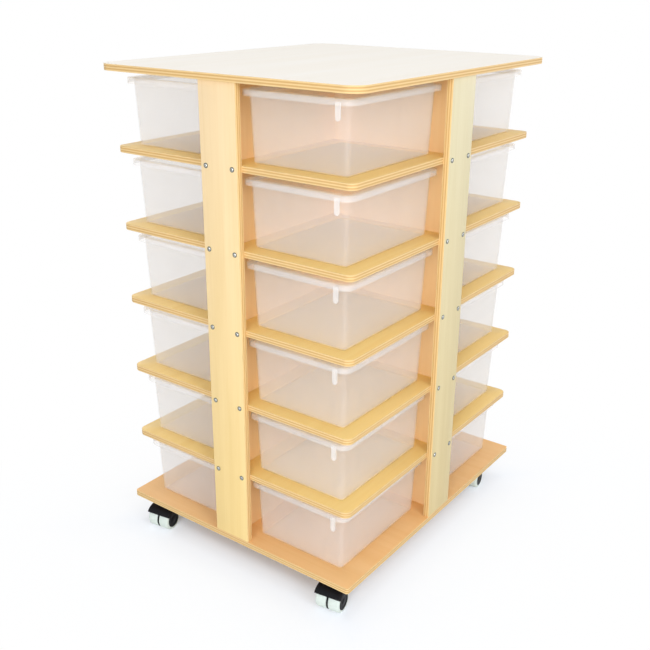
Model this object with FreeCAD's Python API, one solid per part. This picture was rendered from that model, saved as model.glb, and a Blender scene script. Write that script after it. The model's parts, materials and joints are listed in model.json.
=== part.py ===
import FreeCAD, Part
import math
import os

# A tray storage unit on castors: two large boards, planks in the middle of each side, a cross of
# dividers, quarter shelves in the four bays, and one loose tray on each shelf.
# Millimetres. +Z is up, the floor is z = 0, the front is -Y and the right is +X.
# What repeats many times, which is the trays, castors and fasteners, has its round stretches made
# of flats, so that the whole unit stays light. The boards' corners, the axles and the pins are round.

# Boards
board_thickness = 13.0
unit_width = 620.0
unit_depth = 730.0
top_corner_radius = 34.0
base_inset = 6.0
base_corner_radius = 6.0
castor_height = 72.0

# Shelves and dividers
tiers = 6
shelf_corner_radius = 16.0
housing_depth = 3.0

# Planks
plank_width = 90.0

# Trays
tray_width = 247.0
tray_length = 312.0
tray_height = 134.0
tray_headroom = 14.0
tray_rim_width = 12.0
tray_rim_height = 11.5
tray_rim_radius = 20.0
tray_body_radius = 10.0
tray_wall_taper = 4.0
tray_wall = 2.0
tray_to_long_divider = 20.5
tray_to_half_divider = 13.5
lug_width = 10.0
lug_drop = 37.0
lug_chamfer = 3.5
lug_to_corner = 23.0

# Castors
castor_inset = 60.0
castor_turn_degrees = 8.0
castor_trail = 36.0
wheel_radius = 25.0
wheel_pair_width = 56.0
wheel_gap = 3.0
wheel_cup_radius = 17.0
wheel_cup_depth = 13.0
axle_radius = 3.0
axle_length = 46.0
hood_width = 58.0
hood_wall = 3.5
hood_edge_degrees = 28.0
hood_boss_radius = 10.0
hub_radius = 8.0
pin_radius = 4.0
plate_thickness = 3.0
plate_width = 46.0
plate_corner_cut = 7.0

# Fasteners
screw_spacing = 65.0
screw_head_radius = 5.0
screw_head_height = 1.2
screw_shank_radius = 2.2
plank_screw_length = 45.0
castor_screw_spacing = 34.0
castor_screw_length = 13.0
base_screw_length = 40.0
dowel_radius = 4.0
dowel_length = 30.0
dowel_in_top = 9.0
fixing_spacing = 50.0
fixing_from_edge = 60.0

# Flats that stand in for a round
tray_corner_flats = 3
wheel_sides = 24
shaft_sides = 10
screw_sides = 6

# Clearances
running_fit = 0.05
wheel_side_clearance = 0.3
hood_clearance = 1.5
hood_to_plate = 0.4

base_underside = castor_height
base_top = base_underside + board_thickness
base_width = unit_width - 2 * base_inset
base_depth = unit_depth - 2 * base_inset
base_half_width = base_width / 2
base_half_depth = base_depth / 2
shelf_pitch = board_thickness + tray_height + tray_headroom
top_underside = base_underside + tiers * shelf_pitch
half_thickness = board_thickness / 2
shelf_half_width = base_half_width - board_thickness
shelf_half_depth = base_half_depth - board_thickness
shelf_levels = tiers - 1
BAYS = {
    "front_right": (1, -1),
    "front_left": (-1, -1),
    "back_right": (1, 1),
    "back_left": (-1, 1),
}
UP = FreeCAD.Vector(0, 0, 1)


def shelf_underside(level):
    """Height of the underside of a shelf level, counted from the top down, 1 being the highest."""
    return base_underside + (tiers - level) * shelf_pitch


def box(low, high):
    """A block between two opposite corners."""
    size = [b - a for a, b in zip(low, high)]
    return Part.makeBox(*size, FreeCAD.Vector(*low))


def corner_centres(x, y):
    """The four corners of a rectangle about the Z axis, counted anticlockwise from the back right."""
    return [(x, y), (-x, y), (-x, -y), (x, -y)]


def rounded_outline(width, depth, radius, height):
    """A closed wire: a rectangle with round corners about the Z axis, lying flat at a height."""
    x = width / 2
    y = depth / 2
    edges = []
    for quarter, (cx, cy) in enumerate(corner_centres(x - radius, y - radius)):
        points = []
        for step in range(3):
            angle = math.radians(90 * quarter + 45 * step)
            offset = FreeCAD.Vector(math.cos(angle), math.sin(angle), 0) * radius
            points.append(FreeCAD.Vector(cx, cy, height) + offset)
        if edges:
            edges.append(Part.LineSegment(edges[-1].Vertexes[-1].Point, points[0]).toShape())
        edges.append(Part.Arc(*points).toShape())
    edges.append(Part.LineSegment(edges[-1].Vertexes[-1].Point, edges[0].Vertexes[0].Point).toShape())
    return Part.Wire(edges)


def rounded_board(width, depth, radius, underside):
    face = Part.Face(rounded_outline(width, depth, radius, underside))
    return face.extrude(UP * board_thickness)


def many_sided(radius, sides):
    """A flat face about the Z axis whose sides touch a circle of the radius, one of them at angle 0."""
    corner_radius = radius / math.cos(math.pi / sides)
    points = []
    for side in range(sides):
        angle = math.pi * (2 * side + 1) / sides
        points.append(FreeCAD.Vector(math.cos(angle), math.sin(angle), 0) * corner_radius)
    return Part.Face(Part.makePolygon(points + points[:1]))


def bar(radius, sides, length, base, direction):
    """A many-sided bar from a base point along a direction."""
    shape = many_sided(radius, sides).extrude(UP * length)
    turn = FreeCAD.Rotation(UP, FreeCAD.Vector(*direction))
    shape.Placement = FreeCAD.Placement(FreeCAD.Vector(*base), turn)
    return shape


def screw(seat, direction, length):
    """A screw whose head stands on a face at the seat and whose shank goes in along the direction."""
    inward = FreeCAD.Vector(*direction)
    head_top = FreeCAD.Vector(*seat) - inward * screw_head_height
    head = bar(screw_head_radius, screw_sides, screw_head_height, head_top, inward)
    shank = bar(screw_shank_radius, screw_sides, length, seat, inward)
    return head.fuse(shank)


def make_plank(sign_x, sign_y):
    """A plank in the middle of one side, from the base board to the top, flush with the base's edge."""
    half = plank_width / 2
    if sign_x:
        low_x, high_x = sorted((sign_x * shelf_half_width, sign_x * base_half_width))
        return box((low_x, -half, base_top), (high_x, half, top_underside))
    low_y, high_y = sorted((sign_y * shelf_half_depth, sign_y * base_half_depth))
    return box((-half, low_y, base_top), (half, high_y, top_underside))


def make_long_divider():
    """The full-depth divider, with a housing on both faces for each shelf level."""
    panel = box(
        (-half_thickness, -shelf_half_depth, base_top),
        (half_thickness, shelf_half_depth, top_underside),
    )
    web = half_thickness - housing_depth
    for level in range(1, shelf_levels + 1):
        low = shelf_underside(level)
        for side in (-1, 1):
            low_x, high_x = sorted((side * web, side * half_thickness))
            housing = box((low_x, -shelf_half_depth, low), (high_x, shelf_half_depth, low + board_thickness))
            panel = panel.cut(housing)
    return panel


def make_half_divider(sign_x):
    """A divider from the full-depth one out to a side plank, with the same housings."""
    low_x, high_x = sorted((sign_x * half_thickness, sign_x * shelf_half_width))
    panel = box((low_x, -half_thickness, base_top), (high_x, half_thickness, top_underside))
    web = half_thickness - housing_depth
    for level in range(1, shelf_levels + 1):
        low = shelf_underside(level)
        for side in (-1, 1):
            low_y, high_y = sorted((side * web, side * half_thickness))
            panel = panel.cut(box((low_x, low_y, low), (high_x, high_y, low + board_thickness)))
    return panel


def make_quarter_shelf(sign_x, sign_y, underside):
    """A shelf for one bay: two edges in the dividers' housings and the outer corner rounded."""
    inner = half_thickness - housing_depth
    low_x, high_x = sorted((sign_x * inner, sign_x * shelf_half_width))
    low_y, high_y = sorted((sign_y * inner, sign_y * shelf_half_depth))
    board = box((low_x, low_y, underside), (high_x, high_y, underside + board_thickness))
    corner = FreeCAD.Vector(sign_x * shelf_half_width, sign_y * shelf_half_depth, underside + half_thickness)
    edge = min(board.Edges, key=lambda e: e.CenterOfMass.distanceToPoint(corner))
    return board.makeFillet(shelf_corner_radius, [edge])


def tray_centre(sign_x, sign_y):
    """Where a tray's middle stands in its bay."""
    x = half_thickness + tray_to_long_divider + tray_width / 2
    y = half_thickness + tray_to_half_divider + tray_length / 2
    return sign_x * x, sign_y * y


def make_lug(side):
    """A lug under the rim at one end of the front wall, with its lower corners cut off."""
    middle = side * (tray_width / 2 - lug_to_corner - lug_width / 2)
    front = -tray_length / 2
    low = tray_height - lug_drop
    left = middle - lug_width / 2
    right = middle + lug_width / 2
    outline = [
        (left, tray_height - tray_rim_height),
        (left, low + lug_chamfer),
        (left + lug_chamfer, low),
        (right - lug_chamfer, low),
        (right, low + lug_chamfer),
        (right, tray_height - tray_rim_height),
    ]
    points = [FreeCAD.Vector(x, front, z) for x, z in outline]
    face = Part.Face(Part.makePolygon(points + points[:1]))
    return face.extrude(FreeCAD.Vector(0, tray_rim_width + tray_wall / 2, 0))


def tray_outline(inset, radius, height):
    """Points round a tray at a height, inset from the rim's edge, its corners made of a few flats."""
    x = tray_width / 2 - inset
    y = tray_length / 2 - inset
    points = []
    for quarter, (cx, cy) in enumerate(corner_centres(x - radius, y - radius)):
        for step in range(tray_corner_flats + 1):
            angle = math.radians(90 * (quarter + step / tray_corner_flats))
            offset = FreeCAD.Vector(math.cos(angle), math.sin(angle), 0) * radius
            points.append(FreeCAD.Vector(cx, cy, height) + offset)
    return points


def flat_sided(lower, upper):
    """A solid between two outlines of as many points, with a flat face between each pair of sides."""
    faces = [Part.Face(Part.makePolygon(outline + outline[:1])) for outline in (lower, upper)]
    for index in range(len(lower)):
        quad = [lower[index - 1], lower[index], upper[index], upper[index - 1], lower[index - 1]]
        faces.append(Part.Face(Part.makePolygon(quad)))
    solid = Part.Solid(Part.Shell(faces))
    if solid.Volume < 0:
        solid.reverse()
    return solid


def make_tray():
    """One tray about the Z axis, standing on z = 0, with its front towards -Y."""
    foot = tray_outline(tray_rim_width + tray_wall_taper, tray_body_radius, 0)
    body = flat_sided(foot, tray_outline(tray_rim_width, tray_body_radius, tray_height))
    rim_underside = tray_outline(0, tray_rim_radius, tray_height - tray_rim_height)
    rim = flat_sided(rim_underside, tray_outline(0, tray_rim_radius, tray_height))
    body = body.fuse([rim, make_lug(-1), make_lug(1)])
    mouth_inset = tray_rim_width + tray_wall
    floor_inset = mouth_inset + tray_wall_taper * (1 - tray_wall / tray_height)
    inner_radius = tray_body_radius - tray_wall
    floor = tray_outline(floor_inset, inner_radius, tray_wall)
    hollow = flat_sided(floor, tray_outline(mouth_inset, inner_radius, tray_height))
    return body.cut(hollow).removeSplitter()


def moved(shape, x, y, z, turn_degrees):
    """A copy of a shape, turned about the Z axis and then moved."""
    placed = shape.copy()
    place = FreeCAD.Placement(FreeCAD.Vector(x, y, z), FreeCAD.Rotation(UP, turn_degrees))
    placed.Placement = place.multiply(placed.Placement)
    return placed


def seat_tray(tray, sign_x, sign_y, tier):
    """A copy of the tray on the shelf or base board of its tier, front outwards."""
    centre_x, centre_y = tray_centre(sign_x, sign_y)
    floor = shelf_underside(tier) + board_thickness
    return moved(tray, centre_x, centre_y, floor, 0 if sign_y < 0 else 180)


def upright(radius, low, high):
    """A many-sided bar about the swivel line, which is the Z axis of the castor's own frame."""
    return bar(radius, shaft_sides, high - low, (0, 0, low), (0, 0, 1))


def across(radius, sides, low_y, high_y):
    """A many-sided bar about the wheels' line, which runs along Y behind the swivel line."""
    return bar(radius, sides, high_y - low_y, (castor_trail, low_y, wheel_radius), (0, 1, 0))


def fender_edge_height():
    """Height of the fender's lower edges."""
    outer = wheel_radius + hood_clearance + hood_wall
    return wheel_radius + outer * math.sin(math.radians(hood_edge_degrees))


def make_hood():
    """The castor's body: a fender over both wheels, the swivel boss and the middle web with its hub."""
    half = hood_width / 2
    inner = wheel_radius + hood_clearance
    outer = inner + hood_wall
    edge_height = fender_edge_height()
    boss_top = base_underside - plate_thickness - hood_to_plate
    above_edge = box((0, -half, edge_height), (castor_trail + 2 * outer, half, boss_top))
    fender = across(outer, wheel_sides, -half, half).common(above_edge)
    neck_top = wheel_radius + inner
    neck = box((0, -hood_boss_radius, edge_height), (castor_trail, hood_boss_radius, neck_top))
    web_half = wheel_gap / 2 - wheel_side_clearance
    hub_half = wheel_gap / 2 + wheel_cup_depth - wheel_side_clearance
    body = fender.fuse([neck, upright(hood_boss_radius, edge_height, boss_top)])
    body = body.cut(across(inner, wheel_sides, -half, half))
    web = box(
        (castor_trail - inner, -web_half, wheel_radius - hub_radius),
        (castor_trail + hub_radius, web_half, wheel_radius + outer - hood_wall / 2),
    )
    body = body.fuse([web, across(hub_radius, shaft_sides, -hub_half, hub_half)])
    body = body.cut(upright(pin_radius + running_fit, 0, boss_top))
    return body.cut(across(axle_radius, shaft_sides, -half, half)).removeSplitter()


def make_wheel(side):
    """One wheel of the pair: a tread, a cup on its inner face and a blind bore for the axle."""

    def slab(radius, sides, near, far):
        low, high = sorted((side * near, side * far))
        return across(radius, sides, low, high)

    inner = wheel_gap / 2
    wheel = slab(wheel_radius, wheel_sides, inner, wheel_pair_width / 2)
    wheel = wheel.cut(slab(wheel_cup_radius, shaft_sides, inner, inner + wheel_cup_depth))
    return wheel.cut(slab(axle_radius + running_fit, shaft_sides, 0, axle_length / 2 + wheel_side_clearance))


def make_axle():
    """The round axle that both wheels turn on, held in the hub."""
    end = FreeCAD.Vector(castor_trail, -axle_length / 2, wheel_radius)
    return Part.makeCylinder(axle_radius, axle_length, end, FreeCAD.Vector(0, 1, 0))


def make_plate():
    """A flat top plate with its corners cut off, under the base board."""
    half = plate_width / 2
    near = half - plate_corner_cut
    corners = [(half, near), (near, half), (-near, half), (-half, near)]
    corners += [(-x, -y) for x, y in corners]
    points = [FreeCAD.Vector(x, y, base_underside - plate_thickness) for x, y in corners]
    return Part.Face(Part.makePolygon(points + points[:1])).extrude(UP * plate_thickness)


def make_pin():
    """The round pin that the hood swivels on, from the plate down into the boss."""
    low = fender_edge_height()
    return Part.makeCylinder(pin_radius, base_underside - plate_thickness - low, UP * low)


def castor_place(sign_x, sign_y):
    """Where a castor's swivel line stands under its corner of the base board."""
    return sign_x * (base_half_width - castor_inset), sign_y * (base_half_depth - castor_inset)


def seat_castor(shape, sign_x, sign_y):
    """A copy of a castor piece at its place, trailing towards the front and turned a little."""
    return moved(shape, *castor_place(sign_x, sign_y), 0, castor_turn_degrees - 90)


def make_plank_screws():
    """Two screws through each plank into the edges of the shelves at each level."""
    screws = []
    for level in range(1, shelf_levels + 1):
        height = shelf_underside(level) + half_thickness
        for side in (-1, 1):
            offset = side * screw_spacing / 2
            for sign in (-1, 1):
                end_seat = (offset, sign * base_half_depth, height)
                side_seat = (sign * base_half_width, offset, height)
                screws.append(screw(end_seat, (0, -sign, 0), plank_screw_length))
                screws.append(screw(side_seat, (-sign, 0, 0), plank_screw_length))
    return screws


def make_castor_screws():
    """Four screws up through each castor plate into the base board."""
    screws = []
    seat_height = base_underside - plate_thickness
    for signs in BAYS.values():
        x, y = castor_place(*signs)
        for dx in (-1, 1):
            for dy in (-1, 1):
                seat = (x + dx * castor_screw_spacing / 2, y + dy * castor_screw_spacing / 2, seat_height)
                screws.append(screw(seat, (0, 0, 1), castor_screw_length))
    return screws


def fixing_places():
    """Where dowels and base screws go: two in each plank, two in the long divider, one in each half."""
    places = []
    for side in (-1, 1):
        for sign in (-1, 1):
            places.append((side * fixing_spacing / 2, sign * (shelf_half_depth + half_thickness)))
            places.append((sign * (shelf_half_width + half_thickness), side * fixing_spacing / 2))
        places.append((0, side * (shelf_half_depth - fixing_from_edge)))
        places.append((side * (shelf_half_width - fixing_from_edge), 0))
    return places


def make_top_dowels():
    low = top_underside + dowel_in_top - dowel_length
    return [bar(dowel_radius, screw_sides, dowel_length, (x, y, low), (0, 0, 1)) for x, y in fixing_places()]


def make_base_screws():
    return [screw((x, y, base_underside), (0, 0, 1), base_screw_length) for x, y in fixing_places()]


def build():
    """Every node's solids, by name."""
    nodes = {
        "top_board": [rounded_board(unit_width, unit_depth, top_corner_radius, top_underside)],
        "base_board": [rounded_board(base_width, base_depth, base_corner_radius, base_underside)],
        "front_plank": [make_plank(0, -1)],
        "back_plank": [make_plank(0, 1)],
        "left_plank": [make_plank(-1, 0)],
        "right_plank": [make_plank(1, 0)],
        "long_divider": [make_long_divider()],
        "left_divider": [make_half_divider(-1)],
        "right_divider": [make_half_divider(1)],
        "plank_screws": make_plank_screws(),
        "castor_screws": make_castor_screws(),
        "top_dowels": make_top_dowels(),
        "base_screws": make_base_screws(),
        "castor_plates": [],
        "castor_pins": [],
    }
    for level in range(1, shelf_levels + 1):
        underside = shelf_underside(level)
        nodes[f"shelf_level_{level}"] = [make_quarter_shelf(*signs, underside) for signs in BAYS.values()]
    tray = make_tray()
    hood = make_hood()
    for bay, signs in BAYS.items():
        for tier in range(1, tiers + 1):
            nodes[f"tray_{bay}_{tier}"] = [seat_tray(tray, *signs, tier)]
        nodes[f"castor_hood_{bay}"] = [seat_castor(hood, *signs)]
        nodes[f"castor_axle_{bay}"] = [seat_castor(make_axle(), *signs)]
        nodes[f"castor_wheel_{bay}_a"] = [seat_castor(make_wheel(-1), *signs)]
        nodes[f"castor_wheel_{bay}_b"] = [seat_castor(make_wheel(1), *signs)]
        nodes["castor_plates"].append(moved(make_plate(), *castor_place(*signs), 0, 0))
        nodes["castor_pins"].append(seat_castor(make_pin(), *signs))
    return nodes


def main():
    os.makedirs("parts", exist_ok=True)
    for node, solids in build().items():
        shape = solids[0] if len(solids) == 1 else Part.makeCompound(solids)
        shape.exportStep(f"parts/{node}.step")


main()
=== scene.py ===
import json
import math

import bmesh
import bpy
from mathutils import Matrix, Vector


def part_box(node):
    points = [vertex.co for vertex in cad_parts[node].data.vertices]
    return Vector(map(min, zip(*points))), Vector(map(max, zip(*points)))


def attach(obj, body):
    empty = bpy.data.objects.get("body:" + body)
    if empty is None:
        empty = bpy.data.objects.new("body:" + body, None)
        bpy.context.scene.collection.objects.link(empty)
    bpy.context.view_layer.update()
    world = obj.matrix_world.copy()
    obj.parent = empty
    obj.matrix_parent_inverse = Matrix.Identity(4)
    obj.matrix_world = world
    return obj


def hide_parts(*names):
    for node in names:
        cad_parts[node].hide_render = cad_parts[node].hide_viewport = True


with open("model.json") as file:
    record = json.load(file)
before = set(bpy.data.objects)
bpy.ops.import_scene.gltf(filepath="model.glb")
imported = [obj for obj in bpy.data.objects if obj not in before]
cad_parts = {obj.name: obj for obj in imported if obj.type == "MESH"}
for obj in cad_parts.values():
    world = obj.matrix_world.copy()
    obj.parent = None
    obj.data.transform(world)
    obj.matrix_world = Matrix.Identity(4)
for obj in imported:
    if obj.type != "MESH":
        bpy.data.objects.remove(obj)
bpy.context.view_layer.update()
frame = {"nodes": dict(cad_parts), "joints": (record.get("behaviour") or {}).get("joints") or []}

MM = 0.001
BAYS = ("front_right", "front_left", "back_right", "back_left")
TIERS = 6
SHELF_LEVELS = TIERS - 1
JOINTS = {joint["name"]: joint for joint in frame["joints"]}

# Boards
BASE_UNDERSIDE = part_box("base_board")[0][2]
BASE_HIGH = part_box("base_board")[1]
BOARD_THICKNESS = BASE_HIGH[2] - BASE_UNDERSIDE
TOP_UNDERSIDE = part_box("top_board")[0][2]
SHELF_PITCH = (TOP_UNDERSIDE - BASE_UNDERSIDE) / TIERS
SHELF_HALF_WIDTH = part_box("shelf_level_1")[1][0]
SHELF_HALF_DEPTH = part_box("shelf_level_1")[1][1]
HOUSING_DEPTH = 3 * MM
TOP_CORNER_RADIUS = 34 * MM
BASE_CORNER_RADIUS = 6 * MM
SHELF_CORNER_RADIUS = 16 * MM
ARC_STEPS = 12
EASED_EDGE = 1.0 * MM
FLAT_ENOUGH = 0.999
SHARP_DEGREES = 38

# Wood
FIGURE_ACROSS = 34.0
FIGURE_ALONG = 1.4
PORES_ACROSS = 420.0
PORES_ALONG = 9.0
PORE_SHARE = 0.22
PLIES = 5
PLY_WANDER = 0.03
FIBRE_SHARE = 0.3
EDGE_PALE = (0.84, 0.62, 0.31)
EDGE_MIDDLE = (0.77, 0.52, 0.225)
EDGE_BROWN = (0.66, 0.405, 0.155)

# Trays
TRAY_WALL = 2.0 * MM
RIM_WIDTH = 12 * MM
RIM_DROP = 11.5 * MM
RIM_THICKNESS = 1.8 * MM
RIM_BEND = 2.4 * RIM_THICKNESS
RIM_THROAT = 2.6 * RIM_THICKNESS
RIM_RADIUS = 20 * MM
TRAY_CORNER_STEPS = 8
BODY_RADIUS = 10 * MM
LEAST_RADIUS = 1.5 * MM
WALL_TAPER = 4 * MM
FLOOR_ROUND = 5 * MM
LIP_ROUND = 1.4 * MM
LIP_EDGE = 0.4 * MM
PANEL_LIFT = 0.8 * MM
FOOT_WIDTH = 8 * MM
LUG_WIDTH = 10 * MM
LUG_DROP = 37 * MM
LUG_CHAMFER = 3.5 * MM
LUG_TO_CORNER = 23 * MM
LUG_THICKNESS = 3 * MM
LUG_RISE = 6 * MM
LUG_RECESS = 0.3 * MM

# Castors; the hub disc's shape is (depth below the wheel's outer face, radius), from its back
CASTOR_TRAIL = 36 * MM
WHEEL_RADIUS = 25 * MM
WHEEL_PAIR_WIDTH = 56 * MM
WHEEL_GAP = 3 * MM
WHEEL_SHOULDER = 4.5 * MM
WHEEL_FACE_RECESS = 0.6 * MM
WHEEL_CLEARANCE = 0.3 * MM
HUB_DISC_RADIUS = 18.5 * MM
HUB_DISC_SEAT = 2 * MM
SEAT_MIDDLE = 1 * MM
HUB_DISC_SHAPE = [
    (3.1 * MM, 0.01 * MM),
    (3.1 * MM, 18.3 * MM),
    (0.8 * MM, 18.3 * MM),
    (0.1 * MM, 17.0 * MM),
    (0.0 * MM, 15.0 * MM),
    (0.7 * MM, 13.5 * MM),
    (0.9 * MM, 7.0 * MM),
    (0.1 * MM, 5.5 * MM),
    (0.0 * MM, 0.01 * MM),
]
CUP_RADIUS = 17 * MM
CUP_DEPTH = 13 * MM
BORE_RADIUS = 3.2 * MM
HOOD_RADIUS = 30 * MM
HOOD_WALL = 3.5 * MM
HOOD_HALF_WIDTH = 30.3 * MM
HOOD_ROUND = 4 * MM
HOOD_ROUND_STEPS = 5
CHEEK_WALL = 1.9 * MM
CHEEK_RADIUS = 19 * MM
HOOD_EDGE_DEGREES = 36
BOSS_RADIUS = 10 * MM
BOSS_EASE = 1 * MM
PIN_BORE_RADIUS = 4.3 * MM
NECK_INSET = 4 * MM
NECK_DROP = 9 * MM
WEB_RADIUS = 24 * MM
AXLE_HUB_RADIUS = 8 * MM
AXLE_HUB_CLEARANCE = 0.5 * MM
NEARLY_NOTHING = 0.001 * MM
PLATE_THICKNESS = 3 * MM
CASTOR_SCREW_SPACING = 34 * MM

# Screws; the recess is given in shares of the dome
SCREW_HEAD_RADIUS = 5 * MM
SCREW_DOME = 2.2 * MM
DOME_SHARE = 0.72
SCREW_SHANK_RADIUS = 2.2 * MM
SCREW_SPACING = 65 * MM
FIXING_SPACING = 50 * MM
FIXING_FROM_EDGE = 60 * MM
PLANK_SCREW_LENGTH = 45 * MM
BASE_SCREW_LENGTH = 40 * MM
CASTOR_SCREW_LENGTH = 13 * MM
RECESS_LENGTH = 1.05
RECESS_WIDTH = 0.26
RECESS_HEIGHT = 1.3
RECESS_LIFT = 0.95
FLANGE_SHARE = 0.7
SCREW_FACETS = 28
SCREW_SEED = 7

# Stage
FLOOR_REACH = 60.0
FLOOR_SEEN = (0.90, 1.01, 1.18)
FLOOR_BOUNCED = (0.80, 0.80, 0.80)
SHADE_DEPTH = 125 * MM
SHADE_REACH = 475 * MM
WHITENESS = [(0.10, 0.0), (0.15, 0.43), (0.21, 0.68), (0.31, 0.87), (0.5, 0.96), (1.0, 1.0)]
WORLD_LEVEL = 0.43
LAMPS = [
    ("front_softbox", (1.5, -3.7, 1.7), (0, 0, 0.50), 1.6, 0.39),
    ("right_softbox", (3.7, -1.6, 2.1), (0, 0, 0.50), 1.6, 0.33),
    ("left_softbox", (-3.9, 1.3, 1.7), (0, 0, 0.55), 1.6, 0.16),
    ("back_softbox", (1.3, 3.9, 1.7), (0, 0, 0.55), 1.6, 0.16),
    ("overhead_softbox", (0.0, 0.0, 4.2), (0, 0, 1.05), 2.2, 0.30),
]
CAMERA_PLACE = (1.11426, -1.54648, 1.21198)
CAMERA_AZIMUTH = 36.2428
CAMERA_PITCH = 21.5023
CAMERA_ROLL = 0.4339
CAMERA_LENS = 49.12


# ---------------------------------------------------------------- materials


def new_material(name):
    """A material with a principled surface; returns it, its node tree and the surface node."""
    material = bpy.data.materials.new(name)
    material.use_nodes = True
    surface = material.node_tree.nodes["Principled BSDF"]
    return material, material.node_tree, surface


def add_node(tree, kind, **settings):
    node = tree.nodes.new(kind)
    for key, value in settings.items():
        setattr(node, key, value)
    return node


def feed(tree, socket, value):
    """Gives a socket a number, a triple or another node's output."""
    if isinstance(value, bpy.types.NodeSocket):
        tree.links.new(value, socket)
    elif isinstance(value, tuple) and socket.type == "RGBA":
        socket.default_value = (*value, 1)
    else:
        socket.default_value = value


def math_node(tree, operation, *operands):
    """A Math node; each operand is a number or an output socket. Returns its output socket."""
    node = add_node(tree, "ShaderNodeMath", operation=operation)
    for socket, value in zip(node.inputs, operands):
        feed(tree, socket, value)
    return node.outputs[0]


def object_position(tree, scale=(1, 1, 1)):
    """Object coordinates, stretched by a scale on each axis."""
    place = add_node(tree, "ShaderNodeTexCoord")
    mapping = add_node(tree, "ShaderNodeMapping")
    mapping.inputs["Scale"].default_value = scale
    tree.links.new(place.outputs["Object"], mapping.inputs["Vector"])
    return mapping.outputs["Vector"]


def object_axis(tree, axis):
    """One of the object coordinates, 0 to 2 for X to Z."""
    split = add_node(tree, "ShaderNodeSeparateXYZ")
    tree.links.new(object_position(tree), split.inputs["Vector"])
    return split.outputs[axis]


def noise(tree, vector, scale, detail=4.0, roughness=0.5, distortion=0.0):
    node = add_node(tree, "ShaderNodeTexNoise")
    node.inputs["Scale"].default_value = scale
    node.inputs["Detail"].default_value = detail
    node.inputs["Roughness"].default_value = roughness
    node.inputs["Distortion"].default_value = distortion
    tree.links.new(vector, node.inputs["Vector"])
    return node.outputs["Fac"]


def ramp(tree, factor, stops):
    """A colour ramp through (position, colour) stops."""
    node = add_node(tree, "ShaderNodeValToRGB")
    elements = node.color_ramp.elements
    while len(elements) < len(stops):
        elements.new(0.5)
    for element, (position, colour) in zip(elements, stops):
        element.position = position
        element.color = (*colour, 1)
    tree.links.new(factor, node.inputs["Fac"])
    return node.outputs["Color"]


def mix_colours(tree, factor, first, second, blend="MIX"):
    """Mixes two colours, each a triple or an output socket."""
    node = add_node(tree, "ShaderNodeMix", data_type="RGBA", blend_type=blend)
    feed(tree, node.inputs["Factor"], factor)
    for name, value in (("A", first), ("B", second)):
        feed(tree, next(s for s in node.inputs if s.name == name and s.type == "RGBA"), value)
    return next(s for s in node.outputs if s.type == "RGBA")


def add_bump(tree, surface, height, strength, distance):
    bump = add_node(tree, "ShaderNodeBump")
    bump.inputs["Strength"].default_value = strength
    bump.inputs["Distance"].default_value = distance
    tree.links.new(height, bump.inputs["Height"])
    tree.links.new(bump.outputs["Normal"], surface.inputs["Normal"])


def lacquer(surface, roughness=0.45):
    """The thin satin lacquer on all the bare wood."""
    surface.inputs["Roughness"].default_value = roughness
    surface.inputs["Specular IOR Level"].default_value = 0.3
    surface.inputs["Coat Weight"].default_value = 0.06
    surface.inputs["Coat Roughness"].default_value = 0.3


def along_grain(tree, grain_axis, across, along):
    """Object coordinates, stretched along the grain of the wood."""
    scale = [across, across, across]
    scale[grain_axis] = along
    return object_position(tree, scale)


def veneer(name, pale, deep, grain_axis, painted_foot_shading=None):
    """Lacquered birch face: fine pores, slow bands of tone, and, if given, painted shading that grows
    downwards.
    """
    material, tree, surface = new_material(name)
    bands = along_grain(tree, grain_axis, FIGURE_ACROSS, FIGURE_ALONG)
    figure = noise(tree, bands, 1.0, 5.0, 0.62, 0.6)
    pores = along_grain(tree, grain_axis, PORES_ACROSS, PORES_ALONG)
    fine = noise(tree, pores, 1.0, 2.0, 0.5)
    slow = math_node(tree, "MULTIPLY", figure, 1 - PORE_SHARE)
    tone = math_node(tree, "MULTIPLY_ADD", fine, PORE_SHARE, slow)
    colour = ramp(tree, tone, [(0.34, deep), (0.64, pale)])
    # Painted shading: the colour is multiplied more and more towards the foot, turning yellower lower
    # down, in place of light falling off and warm light reflected near the floor.
    if painted_foot_shading:
        up = math_node(tree, "DIVIDE", object_axis(tree, 2), TOP_UNDERSIDE)
        foot_shading_colour = mix_colours(tree, 1.0, colour, painted_foot_shading, "MULTIPLY")
        colour = mix_colours(tree, math_node(tree, "SUBTRACT", 1.0, up), colour, foot_shading_colour)
    tree.links.new(colour, surface.inputs["Base Color"])
    lacquer(surface)
    add_bump(tree, surface, tone, 0.08, 0.0004)
    return material


def ply_edge(name, axis, start, period=None, mirrored=False):
    """The plywood's sawn edge: pale and brown plies in turn, along one axis from where a board starts."""
    material, tree, surface = new_material(name)
    along = object_axis(tree, axis)
    if mirrored:
        along = math_node(tree, "ABSOLUTE", along)
    along = math_node(tree, "SUBTRACT", along, start)
    if period:
        along = math_node(tree, "FLOORED_MODULO", along, period)
    wander = noise(tree, object_position(tree, (60, 60, 60)), 1.0, 2.0, 0.5)
    share = math_node(tree, "DIVIDE", along, BOARD_THICKNESS)
    sway = math_node(tree, "SUBTRACT", wander, 0.5)
    share = math_node(tree, "MULTIPLY_ADD", sway, PLY_WANDER, share)
    wave = math_node(tree, "SINE", math_node(tree, "MULTIPLY", share, PLIES * math.pi))
    fibres = noise(tree, object_position(tree, (900, 900, 900)), 1.0, 3.0, 0.6)
    tone = math_node(tree, "MULTIPLY_ADD", wave, 0.5, 0.5)
    rough = math_node(tree, "SUBTRACT", fibres, 0.5)
    tone = math_node(tree, "MULTIPLY_ADD", rough, FIBRE_SHARE, tone)
    plies = ramp(tree, tone, [(0.15, EDGE_BROWN), (0.55, EDGE_MIDDLE), (0.85, EDGE_PALE)])
    tree.links.new(plies, surface.inputs["Base Color"])
    lacquer(surface, 0.55)
    add_bump(tree, surface, tone, 0.12, 0.0003)
    return material


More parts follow.
